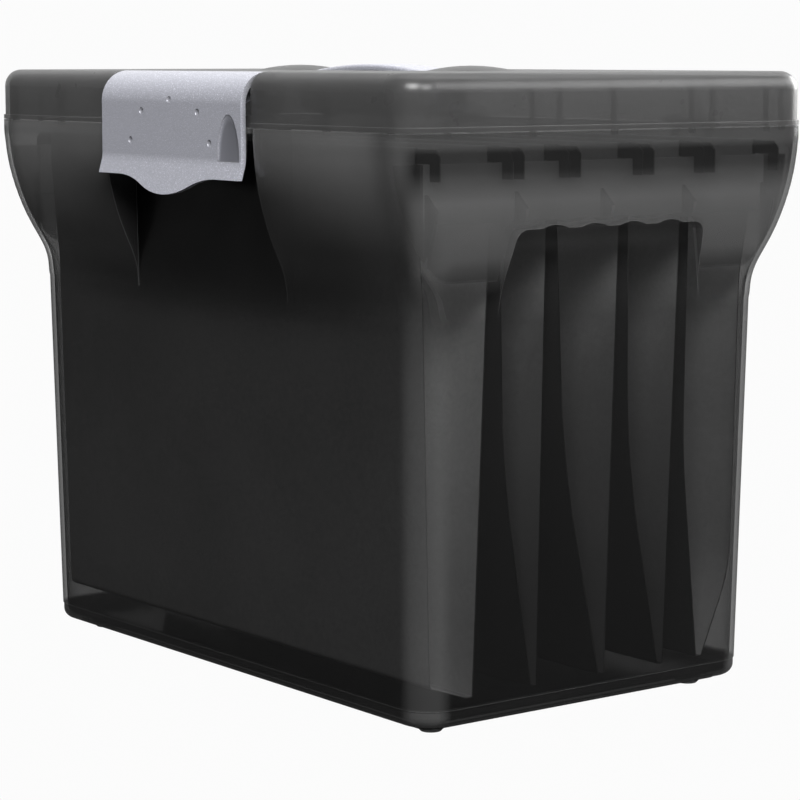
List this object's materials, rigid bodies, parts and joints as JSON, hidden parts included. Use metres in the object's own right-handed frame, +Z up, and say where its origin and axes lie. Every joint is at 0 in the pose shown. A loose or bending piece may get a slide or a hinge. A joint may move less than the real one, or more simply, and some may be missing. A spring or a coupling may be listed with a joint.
{
  "type": "portable file box",
  "caption": "Portable hanging-file box: translucent flared body with end grips, hinged lid with front latch and lift-up carry handle, and hanging folders on moulded rails.",
  "frame": {"origin": "on the floor under the middle of the box, between the four feet", "axes": "+X along the box, -Y the front with the latch, +Y the back with the lid hinges, +Z up"},
  "size_m": [0.3418, 0.2488, 0.2854],
  "materials": {
    "smoke_plastic": "satin smoke-tinted translucent polypropylene",
    "silver_plastic": "silver metallic moulded plastic with a fine fleck",
    "pin_steel": "plain steel rod",
    "rod_steel": "dark coated spring steel strip",
    "card": "charcoal card outside, lighter grey inside"
  },
  "bodies": {
    "box": {"box_body": "smoke_plastic", "hinge_pin_left": "pin_steel", "hinge_pin_right": "pin_steel"},
    "lid": {"lid": "smoke_plastic", "latch_pin": "pin_steel"},
    "latch": {"latch": "silver_plastic"},
    "carry_handle": {"carry_handle": "silver_plastic"},
    "folder_1": {"folder_1_sheet": "card", "folder_1_front_rod": "rod_steel", "folder_1_rear_rod": "rod_steel"},
    "folder_2": {"folder_2_sheet": "card", "folder_2_front_rod": "rod_steel", "folder_2_rear_rod": "rod_steel"},
    "folder_3": {"folder_3_sheet": "card", "folder_3_front_rod": "rod_steel", "folder_3_rear_rod": "rod_steel"},
    "folder_4": {"folder_4_sheet": "card", "folder_4_front_rod": "rod_steel", "folder_4_rear_rod": "rod_steel"},
    "folder_5": {"folder_5_sheet": "card", "folder_5_front_rod": "rod_steel", "folder_5_rear_rod": "rod_steel"}
  },
  "joints": [
    {"name": "lid_hinge", "type": "hinge", "parent": "box", "child": "lid", "pos_m": [0, 0.12082, 0.2583], "axis": [-1, 0, 0], "range_deg": [0, 105]},
    {"name": "latch_hinge", "type": "hinge", "parent": "lid", "child": "latch", "pos_m": [0, -0.11102, 0.274], "axis": [-1, 0, 0], "range_deg": [0, 95]},
    {"name": "handle_lift", "type": "slide", "parent": "lid", "child": "carry_handle", "axis": [0, 0, 1], "range_m": [0, 0.0125]},
    {"name": "folder_1_slide", "type": "slide", "parent": "box", "child": "folder_1", "axis": [0, 1, 0], "range_m": [-0.0018, 0.0018]},
    {"name": "folder_2_slide", "type": "slide", "parent": "box", "child": "folder_2", "axis": [0, 1, 0], "range_m": [-0.0018, 0.0018]},
    {"name": "folder_3_slide", "type": "slide", "parent": "box", "child": "folder_3", "axis": [0, 1, 0], "range_m": [-0.0018, 0.0018]},
    {"name": "folder_4_slide", "type": "slide", "parent": "box", "child": "folder_4", "axis": [0, 1, 0], "range_m": [-0.0018, 0.0018]},
    {"name": "folder_5_slide", "type": "slide", "parent": "box", "child": "folder_5", "axis": [0, 1, 0], "range_m": [-0.0018, 0.0018]}
  ]
}
